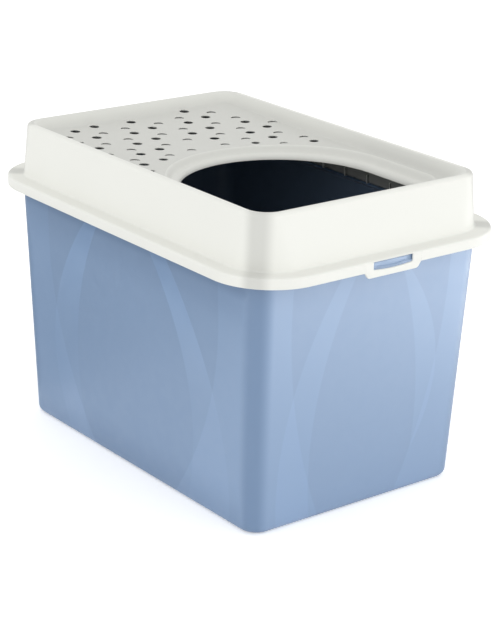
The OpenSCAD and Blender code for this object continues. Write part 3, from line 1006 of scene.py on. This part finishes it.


# Materials

# How far in from an outer edge the plastic turns lighter and smoother
EDGE_REACH = 0.0012
# Brightness of the lid's corners where their shade is full
CORNER_TINT = 0.6
# X less Y, both counted from the middle of the box: at an upright corner's
# middle, where its shade starts and is full, and where it fades and has gone
CORNER_MIDDLE = 0.083
CORNER_START = (0.050, 0.070)
CORNER_END = (0.084, 0.108)
# Heights between which the side walls' shade grows below the lid, right below
# its edge, and fades above the floor
TOP_SHADE_Z = (0.245, 0.285)
LEDGE_SHADE_Z = (0.290, 0.306)
LOW_SHADE_Z = (0.0, 0.060)
# Heights between which the side walls' bands grow stronger
RISE_Z = (0.12, 0.27)
# Height below which the bin's upward faces are its inner floor
FLOOR_Z = 0.05
# Curved bands on the bin's walls: which wall, then for each of a band's two
# edges its place at the rim, its place where it stands upright, and the
# height of that place, all in metres from the wall's middle
BANDS = (
    ("side", (-0.098, -0.175, 0.120), (-0.071, -0.122, 0.120)),
    ("side", (0.046, 0.127, 0.090), (0.080, 0.197, 0.020)),
    ("end", (-0.053, -0.127, 0.050), (-0.030, -0.080, 0.080)),
    ("end", (0.046, 0.084, 0.100), (0.056, 0.112, 0.160)),
)
# Height of the bands' upper ends
BAND_TOP = 0.300
# Half the width over which a band's edge fades
BAND_BLUR = 0.0012
# Broad blades beside the corners of each wall, lighter like the bands, part pattern
# and part painted sheen: their inner edge's place at the rim and low down, and the
# height from which it starts to curve
BLADES = (
    ("side", 0.180, 0.112, 0.260),
    ("end", 0.121, 0.075, 0.290),
)
# Height of the low place
BLADE_LOW = 0.040


class Shade:
    """Builds one material's nodes."""

    def __init__(self, tree):
        self.tree = tree
        self.tree.nodes.clear()

    def add(self, kind, settings=None, **inputs):
        """Adds a node. Each input is a number, a colour or another node's output."""
        node = self.tree.nodes.new(kind)
        for name, value in (settings or {}).items():
            setattr(node, name, value)
        for name, value in inputs.items():
            self.feed(node.inputs[name.replace("_", " ")], value)
        return node

    def feed(self, socket, value):
        """Sets a socket to a value, or links an output to it."""
        if isinstance(value, bpy.types.NodeSocket):
            self.tree.links.new(value, socket)
        else:
            socket.default_value = value

    def math(self, operation, *values):
        """The output of a Math node."""
        node = self.tree.nodes.new("ShaderNodeMath")
        node.operation = operation
        for socket, value in zip(node.inputs, values):
            self.feed(socket, value)
        return node.outputs[0]

    def scaled(self, value, low, high, out_low, out_high):
        """A value's range from low to high brought to another range, and kept inside it."""
        node = self.tree.nodes.new("ShaderNodeMapRange")
        node.interpolation_type = "SMOOTHSTEP"
        for socket, number in zip(node.inputs, (value, low, high, out_low, out_high)):
            self.feed(socket, number)
        return node.outputs[0]

    def noise(self, place, scale, detail):
        """The grey output of a noise texture."""
        return self.add("ShaderNodeTexNoise", Vector=place, Scale=scale, Detail=detail).outputs[0]

    def mixed(self, amount, first, second, blend="MIX"):
        """Two colours mixed by amount."""
        node = self.tree.nodes.new("ShaderNodeMix")
        node.data_type = "RGBA"
        node.blend_type = blend
        self.feed(node.inputs["Factor"], amount)
        self.feed(next(i for i in node.inputs if i.name == "A" and i.type == "RGBA"), first)
        self.feed(next(i for i in node.inputs if i.name == "B" and i.type == "RGBA"), second)
        return next(o for o in node.outputs if o.type == "RGBA")


def new_material(name):
    """An empty material and the builder of its nodes."""
    material = bpy.data.materials.new(name)
    material.use_nodes = True
    return material, Shade(material.node_tree)


def along_corner(shade, place):
    """A point's distance from the middle of the box in X less that in Y, about 0.08 at an upright corner."""
    split = shade.add("ShaderNodeSeparateXYZ", Vector=place).outputs
    return shade.math("SUBTRACT", shade.math("ABSOLUTE", split["X"]), shade.math("ABSOLUTE", split["Y"]))


def corner_share(shade, to_corner):
    """1 in the middle of an upright corner, falling to 0 where the flat walls begin."""
    rising = shade.scaled(to_corner, *CORNER_START, 0.0, 1.0)
    return shade.math("MULTIPLY", rising, shade.scaled(to_corner, *CORNER_END, 1.0, 0.0))


def edge_share(shade):
    """How close a point lies to an outer edge, from 0 to 1."""
    bevel = shade.add("ShaderNodeBevel", {"samples": 4}, Radius=EDGE_REACH)
    normal = shade.add("ShaderNodeNewGeometry").outputs["Normal"]
    dot = shade.add("ShaderNodeVectorMath", {"operation": "DOT_PRODUCT"})
    shade.feed(dot.inputs[0], bevel.outputs[0])
    shade.feed(dot.inputs[1], normal)
    return shade.scaled(dot.outputs["Value"], 0.995, 0.80, 0.0, 1.0)


def grained_plastic(shade, place, colour_output, roughness_output, **constants):
    """A moulded plastic surface with a fine grain."""
    grain = shade.noise(place, 1400.0, 2.0)
    ripple = shade.noise(place, 38.0, 2.0)
    fine = shade.add("ShaderNodeBump", Strength=0.10, Distance=0.0001, Height=grain)
    broad = shade.add("ShaderNodeBump", Strength=0.06, Distance=0.0015, Height=ripple, Normal=fine.outputs[0])
    surface = shade.add(
        "ShaderNodeBsdfPrincipled",
        Base_Color=colour_output,
        Roughness=roughness_output,
        Normal=broad.outputs[0],
        **constants,
    )
    shade.add("ShaderNodeOutputMaterial", Surface=surface.outputs[0])


def tinted(base, factor):
    """A colour made lighter or darker, with its alpha."""
    return tuple(min(c * factor, 1.0) for c in base) + (1.0,)


def lid_plastic(s, name="warm_white_plastic", gain=1.0, edge_gain=None):
    """Warm white satin plastic of the lid and the latch tabs, darkened by gain as painted shade.

    Away from the panel's level it can have a gain of its own. With a gain of 1 it has painted shade at the
    upright corners.
    """
    known = bpy.data.materials.get(name)
    if known:
        return known
    material, shade = new_material(name)
    place = shade.add("ShaderNodeTexCoord").outputs["Object"]
    cloud = shade.noise(place, 9.0, 3.0)
    colour_output = shade.mixed(cloud, tinted(s.plastic, 0.985 * gain), tinted(s.plastic, 1.012 * gain))
    if edge_gain:
        level = shade.add("ShaderNodeSeparateXYZ", Vector=place).outputs["Z"]
        away = shade.math("ABSOLUTE", shade.math("SUBTRACT", level, RIM_Z - s.drop))
        far = shade.scaled(away, 0.003, 0.016, 0.0, 1.0)
        colour_output = shade.mixed(far, colour_output, tinted(s.plastic, edge_gain))
    if gain == 1.0:
        corner = corner_share(shade, along_corner(shade, place))
        corner = shade.math("MULTIPLY", corner, s.corner_shade)
        colour_output = shade.mixed(corner, colour_output, tinted(s.plastic, CORNER_TINT))
    edge = edge_share(shade)
    at_edge = shade.math("MULTIPLY", edge, 0.5)
    colour_output = shade.mixed(at_edge, colour_output, tinted(s.plastic, 1.04 * gain))
    sheen = shade.scaled(shade.noise(place, 55.0, 4.0), 0.3, 0.7, s.roughness - 0.04, s.roughness + 0.05)
    roughness_output = shade.math("SUBTRACT", sheen, shade.math("MULTIPLY", edge, 0.06))
    grained_plastic(shade, place, colour_output, roughness_output, Specular_IOR_Level=0.1)
    return material


def band_group():
    """A node group that gives 1 between a band's two edges and 0 elsewhere."""
    name = "curved_band"
    known = bpy.data.node_groups.get(name)
    if known:
        return known
    group = bpy.data.node_groups.new(name, "ShaderNodeTree")
    labels = ["Along", "Height"]
    for side in ("A", "B"):
        labels += [f"Foot {side}", f"Foot {side} height", f"Bend {side}"]
    for label in labels:
        group.interface.new_socket(label, in_out="INPUT", socket_type="NodeSocketFloat")
    group.interface.new_socket("Band", in_out="OUTPUT", socket_type="NodeSocketFloat")
    shade = Shade(group)
    given = shade.add("NodeGroupInput").outputs
    sides = []
    for side in ("A", "B"):
        rise = shade.math("SUBTRACT", given["Height"], given[f"Foot {side} height"])
        bow = shade.math("MULTIPLY", shade.math("MULTIPLY", rise, rise), given[f"Bend {side}"])
        edge = shade.math("ADD", given[f"Foot {side}"], bow)
        past = shade.math("SUBTRACT", given["Along"], edge)
        sides.append(shade.scaled(past, -BAND_BLUR, BAND_BLUR, 0.0, 1.0))
    band = shade.math("MULTIPLY", sides[0], shade.math("SUBTRACT", 1.0, sides[1]))
    shade.add("NodeGroupOutput", Band=band)
    return group


def banded(shade, place, s):
    """How strongly the curved bands cover a point on the bin's wall."""
    split = shade.add("ShaderNodeSeparateXYZ", Vector=place).outputs
    height = split["Z"]
    across = {"side": split["X"], "end": split["Y"]}
    on_end = shade.math("GREATER_THAN", along_corner(shade, place), CORNER_MIDDLE)
    on_side = shade.math("SUBTRACT", 1.0, on_end)
    rise = shade.scaled(height, *RISE_Z, s.band_low, s.band_high)
    band_share = {"side": shade.math("MULTIPLY", on_side, rise), "end": on_end}
    blade_share = {"side": on_side, "end": on_end}
    total = None
    for wall, first, second in BANDS:
        node = shade.add("ShaderNodeGroup", {"node_tree": band_group()}, Along=across[wall], Height=height)
        for label, (top, foot, foot_z) in (("A", first), ("B", second)):
            node.inputs[f"Foot {label}"].default_value = foot
            node.inputs[f"Foot {label} height"].default_value = foot_z
            node.inputs[f"Bend {label}"].default_value = (top - foot) / (BAND_TOP - foot_z) ** 2
        cover = shade.math("MULTIPLY", node.outputs[0], band_share[wall])
        total = cover if total is None else shade.math("ADD", total, cover)
    for wall, top, foot, top_z in BLADES:
        fallen = shade.math("MINIMUM", shade.math("SUBTRACT", height, top_z), 0.0)
        bend = (foot - top) / (top_z - BLADE_LOW) ** 2
        bow = shade.math("MULTIPLY", shade.math("MULTIPLY", fallen, fallen), bend)
        far = shade.math("ABSOLUTE", across[wall])
        past = shade.math("SUBTRACT", far, shade.math("ADD", bow, top))
        inside_edge = shade.scaled(past, -BAND_BLUR, BAND_BLUR, 0.0, 1.0)
        cover = shade.math("MULTIPLY", inside_edge, blade_share[wall])
        total = shade.math("ADD", total, cover)
    return total


def wall_shade(shade, place, s):
    """How deep in shade a point of the bin's wall lies: at the corners, below the lid and at the floor."""
    height = shade.add("ShaderNodeSeparateXYZ", Vector=place).outputs["Z"]
    to_corner = along_corner(shade, place)
    corner = shade.math("MULTIPLY", corner_share(shade, to_corner), s.corner_shade)
    top = shade.scaled(height, *TOP_SHADE_Z, 0.0, s.top_shade)
    ledge = shade.scaled(height, *LEDGE_SHADE_Z, 0.0, s.ledge_shade)
    low = shade.scaled(height, *LOW_SHADE_Z, s.low_shade, 0.0)
    side = shade.math("ADD", shade.math("ADD", top, ledge), low)
    on_side = shade.math("LESS_THAN", to_corner, CORNER_MIDDLE)
    return shade.math("MAXIMUM", shade.math("MULTIPLY", side, on_side), corner)


def inner_faces(shade, place):
    """1 on the bin's inner walls and floor, which face its middle, and 0 elsewhere. These faces get painted
    shade.
    """
    normal = shade.add("ShaderNodeNewGeometry").outputs["Normal"]
    level = shade.add("ShaderNodeVectorMath", {"operation": "MULTIPLY"})
    shade.feed(level.inputs[0], place)
    shade.feed(level.inputs[1], (1.0, 1.0, 0.0))
    facing = shade.add("ShaderNodeVectorMath", {"operation": "DOT_PRODUCT"})
    shade.feed(facing.inputs[0], level.outputs[0])
    shade.feed(facing.inputs[1], normal)
    inward = shade.math("LESS_THAN", facing.outputs["Value"], FACES_IN)
    split = shade.add("ShaderNodeSeparateXYZ", Vector=normal).outputs
    up = shade.math("GREATER_THAN", split["Z"], 0.5)
    height = shade.add("ShaderNodeSeparateXYZ", Vector=place).outputs["Z"]
    low = shade.math("LESS_THAN", height, FLOOR_Z)
    return shade.math("MAXIMUM", inward, shade.math("MULTIPLY", up, low))


def bin_plastic(s):
    """Light blue satin plastic of the bin, with smoother curved bands on its walls that are lighter partly as
    painted sheen, and painted shade at its corners, below the lid, at the floor and on its inner faces.
    """
    material, shade = new_material("light_blue_plastic")
    place = shade.add("ShaderNodeTexCoord").outputs["Object"]
    cloud = shade.noise(place, 7.0, 3.0)
    colour_output = shade.mixed(cloud, tinted(s.plastic, 0.975), tinted(s.plastic, 1.02))
    bands = banded(shade, place, s)
    colour_output = shade.mixed(wall_shade(shade, place, s), colour_output, (*s.shaded, 1.0))
    # Lighter tint of the bands and blades: partly painted sheen
    gain = shade.math("ADD", shade.math("MULTIPLY", bands, s.band_tint), 1.0)
    grey = shade.add("ShaderNodeCombineColor", Red=gain, Green=gain, Blue=gain).outputs[0]
    lighter = shade.mixed(1.0, colour_output, grey, "MULTIPLY")
    edge = edge_share(shade)
    lighter_edges_and_inner_shade = shade.mixed(shade.math("MULTIPLY", edge, 0.25), lighter, tinted(s.plastic, 1.35))
    # Painted shade: the inner walls and floor are painted darker
    lighter_edges_and_inner_shade = shade.mixed(inner_faces(shade, place), lighter_edges_and_inner_shade, tinted(s.plastic, s.inside))
    sheen = shade.scaled(shade.noise(place, 60.0, 4.0), 0.3, 0.7, s.roughness - 0.04, s.roughness + 0.05)
    smoother = shade.math("MULTIPLY", bands, s.band_shine)
    roughness_output = shade.math("SUBTRACT", sheen, smoother)
    grained_plastic(shade, place, lighter_edges_and_inner_shade, roughness_output, Specular_IOR_Level=0.75)
    return material


# Stage

# The glow card: its width and height, its place, and the point it faces
GLOW_SIZE = (1.1, 0.7)
GLOW_PLACE = Vector((0.62, 0.36, 0.16))
GLOW_AIM = Vector((0.25, 0.0, 0.18))
# How far the back card stands behind the camera, and how far the side card
# lies above the floor
CARD_BEHIND = 0.5
CARD_LIFT = 0.002


def seen_rays(shade):
    """1 for rays from the camera, and for those that gloss or glass sends on."""
    path = shade.add("ShaderNodeLightPath").outputs
    seen = shade.math("MAXIMUM", path["Is Camera Ray"], path["Is Glossy Ray"])
    return shade.math("MAXIMUM", seen, path["Is Transmission Ray"])


def level_square(name, size):
    """A flat square as a mesh, facing up."""
    shell = Shell()
    half = size / 2
    shell.faces.append(tuple(shell.loop([(-half, -half), (half, -half), (half, half), (-half, half)], 0.0)))
    return shell.mesh(name)


def add_floor(s):
    """A pale floor that keeps the box's shadow."""
    material, shade = new_material("pale_floor")
    place = shade.add("ShaderNodeTexCoord").outputs["Object"]
    cloud = shade.noise(place, 3.0, 2.0)
    grey = s.floor_grey
    paint = shade.mixed(cloud, (grey, grey, grey, 1.0), (grey * 1.01, grey * 1.01, grey * 1.015, 1.0))
    matt = shade.add("ShaderNodeBsdfDiffuse", Color=paint)
    seen = shade.math("MULTIPLY", seen_rays(shade), s.floor_lift - s.floor_bounce)
    lift = shade.add("ShaderNodeEmission", Strength=shade.math("ADD", seen, s.floor_bounce))
    both = shade.tree.nodes.new("ShaderNodeAddShader")
    shade.feed(both.inputs[0], matt.outputs[0])
    shade.feed(both.inputs[1], lift.outputs[0])
    shade.add("ShaderNodeOutputMaterial", Surface=both.outputs[0])
    floor = add_object("floor", level_square("floor", s.floor_size))
    floor.data.materials.append(material)


def add_studio_walls(s):
    """A world that lights the box from all round, more from its walls than from its ceiling."""
    world = bpy.data.worlds.new("studio")
    world.use_nodes = True
    shade = Shade(world.node_tree)
    direction = shade.add("ShaderNodeTexCoord").outputs["Generated"]
    split = shade.add("ShaderNodeSeparateXYZ", Vector=direction).outputs
    height = shade.math("MAXIMUM", split["Z"], 0.0)
    low = shade.math("POWER", shade.math("SUBTRACT", 1.0, height), 2.0)
    sky = shade.math("ADD", shade.math("MULTIPLY", low, s.horizon), s.zenith)
    sky = shade.math("ADD", sky, shade.math("MULTIPLY", split["X"], s.end_gain))
    sky = shade.math("SUBTRACT", sky, shade.math("MULTIPLY", split["Y"], s.side_gain))
    light = shade.add("ShaderNodeBackground", Color=(1.0, 1.0, 1.0, 1.0), Strength=sky)
    white = shade.add("ShaderNodeBackground", Color=(1.0, 1.0, 1.0, 1.0), Strength=1.0)
    choice = shade.tree.nodes.new("ShaderNodeMixShader")
    shade.feed(choice.inputs[0], seen_rays(shade))
    shade.feed(choice.inputs[1], light.outputs[0])
    shade.feed(choice.inputs[2], white.outputs[0])
    shade.add("ShaderNodeOutputWorld", Surface=choice.outputs[0])
    bpy.context.scene.world = world


def add_glow(s):
    """A card beside the front end that only its gloss sees."""
    light = bpy.data.lights.new("glow_card", "AREA")
    light.shape = "RECTANGLE"
    light.size, light.size_y = GLOW_SIZE
    light.energy = s.glow * math.pi * light.size * light.size_y
    card = bpy.data.objects.new("glow_card", light)
    bpy.context.scene.collection.objects.link(card)
    card.location = GLOW_PLACE
    card.rotation_euler = (GLOW_AIM - GLOW_PLACE).to_track_quat("-Z", "Y").to_euler()
    card.visible_camera = False
    card.visible_diffuse = False


def from_aim(s):
    """The direction from the aim to the camera."""
    level = math.cos(s.height)
    return Vector((math.sin(s.turn) * level, -math.cos(s.turn) * level, math.sin(s.height)))


def dark_card(name, size, place, facing):
    """A square black card that only gloss sees, facing a direction."""
    material, shade = new_material(name)
    black = shade.add("ShaderNodeBsdfDiffuse", Color=(0.0, 0.0, 0.0, 1.0))
    shade.add("ShaderNodeOutputMaterial", Surface=black.outputs[0])
    card = add_object(name, level_square(name, size))
    card.data.materials.append(material)
    card.location = place
    card.rotation_euler = facing.to_track_quat("Z", "Y").to_euler()
    card.visible_camera = False
    card.visible_diffuse = False
    card.visible_shadow = False


def add_dark_cards(s):
    """A card behind the camera keeps the near corner dark. One on the floor darkens the side's rear part."""
    back = from_aim(s)
    dark_card("back_card", s.card, Vector(s.aim) + back * (s.distance + CARD_BEHIND), back)
    half = s.side_card / 2
    beside = Vector((s.side_card_x - half, -HALF_WIDTH - half, CARD_LIFT))
    dark_card("side_card", s.side_card, beside, Vector((0, 0, 1)))


def add_camera(s):
    """A camera at the photograph's angle."""
    roll = s.roll
    back = from_aim(s)
    right = Vector((math.cos(s.turn), math.sin(s.turn), 0))
    up = back.cross(right)
    tilted_right = right * math.cos(roll) + up * math.sin(roll)
    tilted_up = up * math.cos(roll) - right * math.sin(roll)
    camera = bpy.data.objects.new("camera", bpy.data.cameras.new("camera"))
    bpy.context.scene.collection.objects.link(camera)
    camera.data.sensor_width = 36.0
    camera.data.sensor_height = 36.0
    camera.data.lens = s.focal
    camera.data.clip_end = 50.0
    turned = Matrix((tilted_right, tilted_up, back)).transposed().to_4x4()
    camera.matrix_world = Matrix.Translation(Vector(s.aim) + back * s.distance) @ turned
    bpy.context.scene.camera = camera


class LITTER_OT_bin(Operator):
    """Builds the bin with its two catches"""

    bl_idname = "litter.bin"
    bl_label = "Bin"

    def execute(self, context):
        add_bin(context.scene)
        return {"FINISHED"}


class LITTER_OT_lid(Operator):
    """Builds the lid with its vents, entry opening and ribs"""

    bl_idname = "litter.lid"
    bl_label = "Lid"

    def execute(self, context):
        add_lid(context.scene)
        return {"FINISHED"}


class LITTER_OT_latches(Operator):
    """Builds the latch tab at each end"""

    bl_idname = "litter.latches"
    bl_label = "Latch tabs"

    def execute(self, context):
        add_latches(context.scene)
        return {"FINISHED"}


class LITTER_OT_stage(Operator):
    """Builds the floor, the studio light and the camera"""

    bl_idname = "litter.stage"
    bl_label = "Stage"

    def execute(self, context):
        stage = context.scene.litter_stage
        add_floor(stage)
        add_studio_walls(stage)
        add_glow(stage)
        add_dark_cards(stage)
        add_camera(stage)
        context.scene.view_settings.view_transform = "Standard"
        return {"FINISHED"}


class LITTER_PT_panel(Panel):
    """Lists the pieces of the litter box"""

    bl_label = "Litter box"
    bl_idname = "LITTER_PT_panel"
    bl_space_type = "VIEW_3D"
    bl_region_type = "UI"
    bl_category = "Litter box"

    def draw(self, context):
        for operator, group in STEPS:
            self.layout.operator(operator)
            settings = getattr(context.scene, group)
            for name in settings.__annotations__:
                self.layout.prop(settings, name)


SETTINGS = (
    ("litter_bin", BinSettings),
    ("litter_lid", LidSettings),
    ("litter_latch", LatchSettings),
    ("litter_stage", StageSettings),
)
STEPS = (
    ("litter.bin", "litter_bin"),
    ("litter.lid", "litter_lid"),
    ("litter.latches", "litter_latch"),
    ("litter.stage", "litter_stage"),
)
OPERATORS = (LITTER_OT_bin, LITTER_OT_lid, LITTER_OT_latches, LITTER_OT_stage)


def register():
    for name, group in SETTINGS:
        bpy.utils.register_class(group)
        setattr(bpy.types.Scene, name, PointerProperty(type=group))
    for operator in OPERATORS:
        bpy.utils.register_class(operator)
    bpy.utils.register_class(LITTER_PT_panel)


def unregister():
    bpy.utils.unregister_class(LITTER_PT_panel)
    for operator in reversed(OPERATORS):
        bpy.utils.unregister_class(operator)
    for name, group in reversed(SETTINGS):
        delattr(bpy.types.Scene, name)
        bpy.utils.unregister_class(group)


def main():
    register()
    bpy.ops.litter.bin()
    bpy.ops.litter.lid()
    bpy.ops.litter.latches()
    bpy.ops.litter.stage()
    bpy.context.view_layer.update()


if __name__ == "__main__":
    main()
